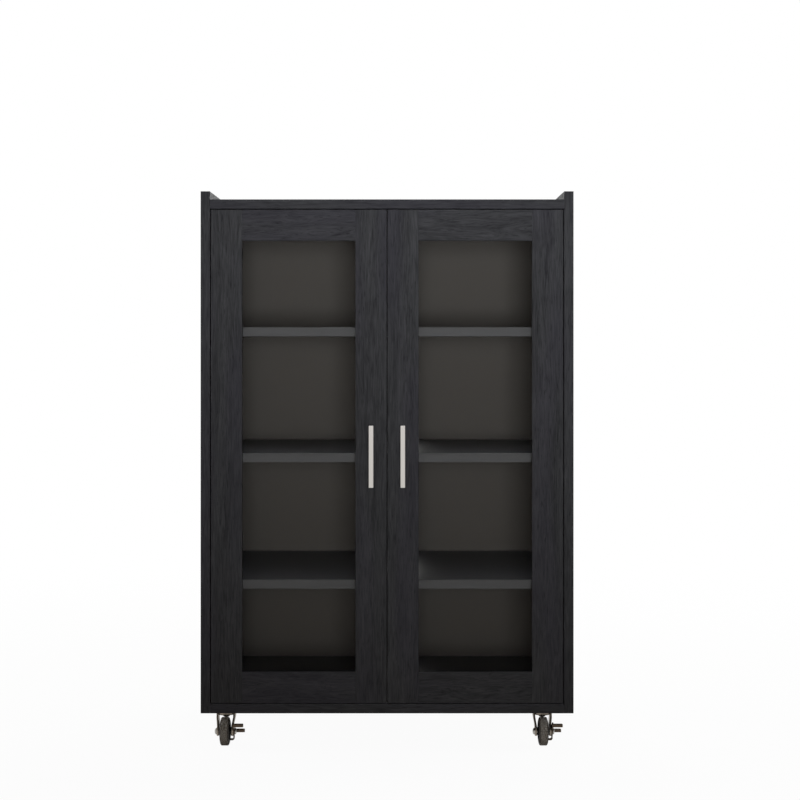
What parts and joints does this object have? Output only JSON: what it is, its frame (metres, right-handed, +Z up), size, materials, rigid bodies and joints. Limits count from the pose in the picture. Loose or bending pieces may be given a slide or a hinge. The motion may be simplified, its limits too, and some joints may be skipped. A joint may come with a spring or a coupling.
{
  "type": "media cabinet",
  "caption": "Upright media cabinet with framed glass doors on concealed hinges, shelves for audio and video equipment, and braked swivel casters.",
  "frame": {"origin": "on the floor under the middle of the overall box, handles included", "axes": "+Z up, +X to the right seen from the front, the doors face -Y"},
  "size_m": [0.6, 0.428, 0.906],
  "materials": {
    "black_oak_board": "foil-wrapped particle board with a black oak grain, satin",
    "hardboard": "black-brown hardboard, matt",
    "clear_glass": "clear float glass",
    "vinyl_bead": "black extruded vinyl",
    "satin_nickel": "satin nickel plate",
    "caster_steel": "zinc plate with a dull bronze cast",
    "wheel_rubber": "moulded rubber, matt"
  },
  "bodies": {
    "case": {"side_panel_left": "black_oak_board", "side_panel_right": "black_oak_board", "top_panel": "black_oak_board", "bottom_panel": "black_oak_board", "upper_shelf": "black_oak_board", "middle_shelf": "black_oak_board", "lower_shelf": "black_oak_board", "back_panel": "hardboard", "shelf_pin_upper_left_front": "satin_nickel", "shelf_pin_upper_left_rear": "satin_nickel", "shelf_pin_upper_right_front": "satin_nickel", "shelf_pin_upper_right_rear": "satin_nickel", "shelf_pin_lower_left_front": "satin_nickel", "shelf_pin_lower_left_rear": "satin_nickel", "shelf_pin_lower_right_front": "satin_nickel", "shelf_pin_lower_right_rear": "satin_nickel", "left_hinge_plate_lower": "satin_nickel", "left_hinge_arm_lower": "satin_nickel", "left_hinge_plate_upper": "satin_nickel", "left_hinge_arm_upper": "satin_nickel", "right_hinge_plate_lower": "satin_nickel", "right_hinge_arm_lower": "satin_nickel", "right_hinge_plate_upper": "satin_nickel", "right_hinge_arm_upper": "satin_nickel", "front_left_caster_plate": "caster_steel", "front_right_caster_plate": "caster_steel", "rear_left_caster_plate": "caster_steel", "rear_right_caster_plate": "caster_steel"},
    "left_door": {"left_door_hinge_stile": "black_oak_board", "left_door_lock_stile": "black_oak_board", "left_door_bottom_rail": "black_oak_board", "left_door_top_rail": "black_oak_board", "left_door_glass": "clear_glass", "left_door_glazing_bead": "vinyl_bead", "left_door_handle": "satin_nickel", "left_hinge_cup_lower": "satin_nickel", "left_hinge_cup_upper": "satin_nickel"},
    "right_door": {"right_door_hinge_stile": "black_oak_board", "right_door_lock_stile": "black_oak_board", "right_door_bottom_rail": "black_oak_board", "right_door_top_rail": "black_oak_board", "right_door_glass": "clear_glass", "right_door_glazing_bead": "vinyl_bead", "right_door_handle": "satin_nickel", "right_hinge_cup_lower": "satin_nickel", "right_hinge_cup_upper": "satin_nickel"},
    "front_left_swivel": {"front_left_caster_fork": "caster_steel", "front_left_caster_axle": "caster_steel"},
    "front_left_wheel": {"front_left_caster_wheel": "wheel_rubber"},
    "front_left_brake": {"front_left_brake_lever": "caster_steel"},
    "front_right_swivel": {"front_right_caster_fork": "caster_steel", "front_right_caster_axle": "caster_steel"},
    "front_right_wheel": {"front_right_caster_wheel": "wheel_rubber"},
    "front_right_brake": {"front_right_brake_lever": "caster_steel"},
    "rear_left_swivel": {"rear_left_caster_fork": "caster_steel", "rear_left_caster_axle": "caster_steel"},
    "rear_left_wheel": {"rear_left_caster_wheel": "wheel_rubber"},
    "rear_right_swivel": {"rear_right_caster_fork": "caster_steel", "rear_right_caster_axle": "caster_steel"},
    "rear_right_wheel": {"rear_right_caster_wheel": "wheel_rubber"}
  },
  "joints": [
    {"name": "left_door_hinge", "type": "hinge", "parent": "case", "child": "left_door", "pos_m": [-0.2674, -0.1788, 0.4795], "axis": [0, 0, -1], "range_deg": [0, 100]},
    {"name": "right_door_hinge", "type": "hinge", "parent": "case", "child": "right_door", "pos_m": [0.2674, -0.1788, 0.4795], "axis": [0, 0, 1], "range_deg": [0, 100]},
    {"name": "front_left_swivel_pivot", "type": "hinge", "parent": "case", "child": "front_left_swivel", "pos_m": [-0.267, -0.106, 0.055], "axis": [0, 0, 1], "continuous": true},
    {"name": "front_left_wheel_spin", "type": "hinge", "parent": "front_left_swivel", "child": "front_left_wheel", "pos_m": [-0.267, -0.126, 0.02289], "axis": [1, 0, 0], "continuous": true},
    {"name": "front_left_brake_pedal", "type": "hinge", "parent": "front_left_swivel", "child": "front_left_brake", "pos_m": [-0.267, -0.126, 0.02289], "axis": [1, 0, 0], "range_deg": [0, 12]},
    {"name": "front_right_swivel_pivot", "type": "hinge", "parent": "case", "child": "front_right_swivel", "pos_m": [0.256, -0.106, 0.055], "axis": [0, 0, 1], "continuous": true},
    {"name": "front_right_wheel_spin", "type": "hinge", "parent": "front_right_swivel", "child": "front_right_wheel", "pos_m": [0.256, -0.126, 0.02289], "axis": [1, 0, 0], "continuous": true},
    {"name": "front_right_brake_pedal", "type": "hinge", "parent": "front_right_swivel", "child": "front_right_brake", "pos_m": [0.256, -0.126, 0.02289], "axis": [1, 0, 0], "range_deg": [0, 12]},
    {"name": "rear_left_swivel_pivot", "type": "hinge", "parent": "case", "child": "rear_left_swivel", "pos_m": [-0.267, 0.134, 0.055], "axis": [0, 0, 1], "continuous": true},
    {"name": "rear_left_wheel_spin", "type": "hinge", "parent": "rear_left_swivel", "child": "rear_left_wheel", "pos_m": [-0.267, 0.114, 0.02289], "axis": [1, 0, 0], "continuous": true},
    {"name": "rear_right_swivel_pivot", "type": "hinge", "parent": "case", "child": "rear_right_swivel", "pos_m": [0.256, 0.134, 0.055], "axis": [0, 0, 1], "continuous": true},
    {"name": "rear_right_wheel_spin", "type": "hinge", "parent": "rear_right_swivel", "child": "rear_right_wheel", "pos_m": [0.256, 0.114, 0.02289], "axis": [1, 0, 0], "continuous": true}
  ]
}
